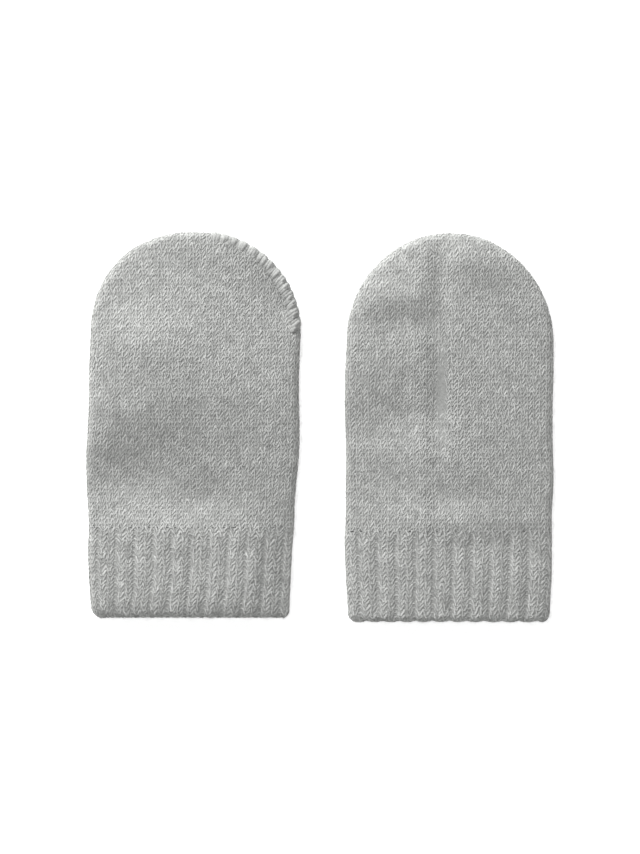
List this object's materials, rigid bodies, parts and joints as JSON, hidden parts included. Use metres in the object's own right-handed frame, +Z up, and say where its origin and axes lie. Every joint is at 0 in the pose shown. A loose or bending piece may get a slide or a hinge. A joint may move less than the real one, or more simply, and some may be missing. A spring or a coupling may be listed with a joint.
{
  "type": "pair of baby mittens",
  "caption": "Thumbless knitted baby mittens in grey melange wool, with round crowns and ribbed cuffs, laid flat side by side.",
  "frame": {"origin": "middle of the pair's bounding box, on the surface that both mittens lie on", "axes": "+X across the pair from the left mitten to the right one, +Y from the cuffs towards the fingertips, +Z up off the surface"},
  "size_m": [0.1437, 0.1202, 0.0086],
  "materials": {
    "jersey": "plain knitted jersey in grey melange wool, matt and softly haired",
    "rib": "two-by-one knitted rib in the same grey melange wool, matt and softly haired"
  },
  "bodies": {
    "root": {"left_back_hand": "jersey", "left_back_cuff": "rib", "left_palm_hand": "jersey", "left_palm_cuff": "rib", "right_back_hand": "jersey", "right_back_cuff": "rib", "right_palm_hand": "jersey", "right_palm_cuff": "rib"}
  },
  "joints": []
}
